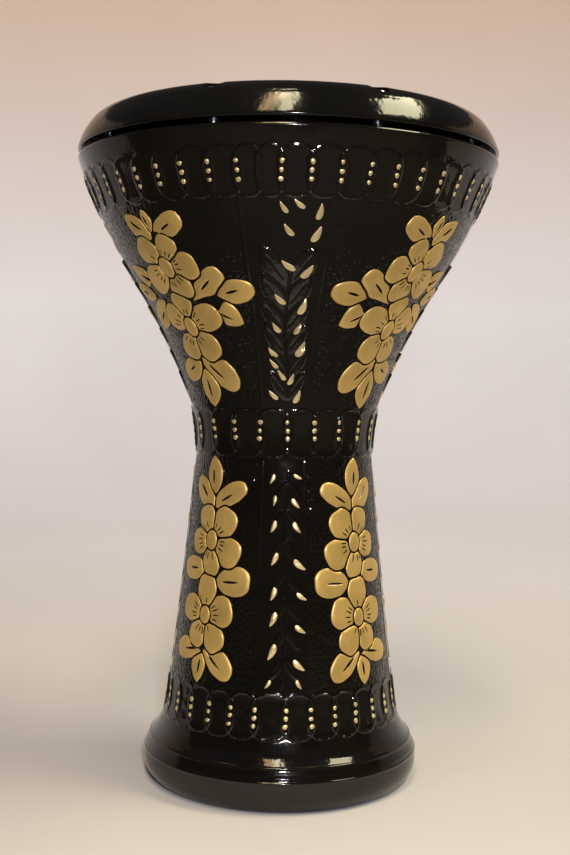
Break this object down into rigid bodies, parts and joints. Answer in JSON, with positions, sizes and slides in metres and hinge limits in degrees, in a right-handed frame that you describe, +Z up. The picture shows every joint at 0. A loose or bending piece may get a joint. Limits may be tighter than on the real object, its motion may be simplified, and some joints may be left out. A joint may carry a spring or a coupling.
{
  "type": "goblet drum",
  "caption": "Goblet-shaped hand drum: cast metal shell with a flared bowl, narrow waist and round foot, and a plastic head held by a bolted tension ring.",
  "frame": {"origin": "middle of the foot's flat underside, on the drum's axis", "axes": "+Z up along the drum's axis, -Y towards the front"},
  "size_m": [0.2764, 0.2764, 0.4337],
  "materials": {
    "black_enamel": "deep gloss black enamel over cast aluminium",
    "gold_paint": "satin gold paint on raised ornament",
    "head_plastic": "smooth milky drumhead film",
    "hoop_aluminium": "drawn aluminium channel",
    "bolt_steel": "bright zinc-plated steel"
  },
  "bodies": {
    "shell_body": {"shell": "black_enamel", "head_film": "head_plastic"},
    "ring_body": {"tension_ring": "black_enamel", "head_hoop": "hoop_aluminium", "tension_washer_1": "bolt_steel", "tension_washer_2": "bolt_steel", "tension_washer_3": "bolt_steel", "tension_washer_4": "bolt_steel", "tension_washer_5": "bolt_steel", "tension_washer_6": "bolt_steel", "tension_washer_7": "bolt_steel", "tension_washer_8": "bolt_steel"},
    "bolt_1_body": {"tension_bolt_1": "bolt_steel"},
    "bolt_2_body": {"tension_bolt_2": "bolt_steel"},
    "bolt_3_body": {"tension_bolt_3": "bolt_steel"},
    "bolt_4_body": {"tension_bolt_4": "bolt_steel"},
    "bolt_5_body": {"tension_bolt_5": "bolt_steel"},
    "bolt_6_body": {"tension_bolt_6": "bolt_steel"},
    "bolt_7_body": {"tension_bolt_7": "bolt_steel"},
    "bolt_8_body": {"tension_bolt_8": "bolt_steel"}
  },
  "joints": [
    {"name": "ring_tension", "type": "slide", "parent": "shell_body", "child": "ring_body", "axis": [0, 0, 1], "range_m": [-0.0015, 0.001]},
    {"name": "bolt_1_turn", "type": "hinge", "parent": "ring_body", "child": "bolt_1_body", "pos_m": [0.0508, -0.11147, 0.4234], "axis": [0, 0, 1], "range_deg": [-541, 361]},
    {"name": "bolt_2_turn", "type": "hinge", "parent": "ring_body", "child": "bolt_2_body", "pos_m": [0.11474, -0.0429, 0.4234], "axis": [0, 0, 1], "range_deg": [-541, 361]},
    {"name": "bolt_3_turn", "type": "hinge", "parent": "ring_body", "child": "bolt_3_body", "pos_m": [0.11147, 0.0508, 0.4234], "axis": [0, 0, 1], "range_deg": [-541, 361]},
    {"name": "bolt_4_turn", "type": "hinge", "parent": "ring_body", "child": "bolt_4_body", "pos_m": [0.0429, 0.11474, 0.4234], "axis": [0, 0, 1], "range_deg": [-541, 361]},
    {"name": "bolt_5_turn", "type": "hinge", "parent": "ring_body", "child": "bolt_5_body", "pos_m": [-0.0508, 0.11147, 0.4234], "axis": [0, 0, 1], "range_deg": [-541, 361]},
    {"name": "bolt_6_turn", "type": "hinge", "parent": "ring_body", "child": "bolt_6_body", "pos_m": [-0.11474, 0.0429, 0.4234], "axis": [0, 0, 1], "range_deg": [-541, 361]},
    {"name": "bolt_7_turn", "type": "hinge", "parent": "ring_body", "child": "bolt_7_body", "pos_m": [-0.11147, -0.0508, 0.4234], "axis": [0, 0, 1], "range_deg": [-541, 361]},
    {"name": "bolt_8_turn", "type": "hinge", "parent": "ring_body", "child": "bolt_8_body", "pos_m": [-0.0429, -0.11474, 0.4234], "axis": [0, 0, 1], "range_deg": [-541, 361]}
  ],
  "couplings": [
    {"joint": "bolt_1_turn", "follows": "ring_tension", "rad_per_m": 6283.2},
    {"joint": "bolt_2_turn", "follows": "ring_tension", "rad_per_m": 6283.2},
    {"joint": "bolt_3_turn", "follows": "ring_tension", "rad_per_m": 6283.2},
    {"joint": "bolt_4_turn", "follows": "ring_tension", "rad_per_m": 6283.2},
    {"joint": "bolt_5_turn", "follows": "ring_tension", "rad_per_m": 6283.2},
    {"joint": "bolt_6_turn", "follows": "ring_tension", "rad_per_m": 6283.2},
    {"joint": "bolt_7_turn", "follows": "ring_tension", "rad_per_m": 6283.2},
    {"joint": "bolt_8_turn", "follows": "ring_tension", "rad_per_m": 6283.2}
  ]
}
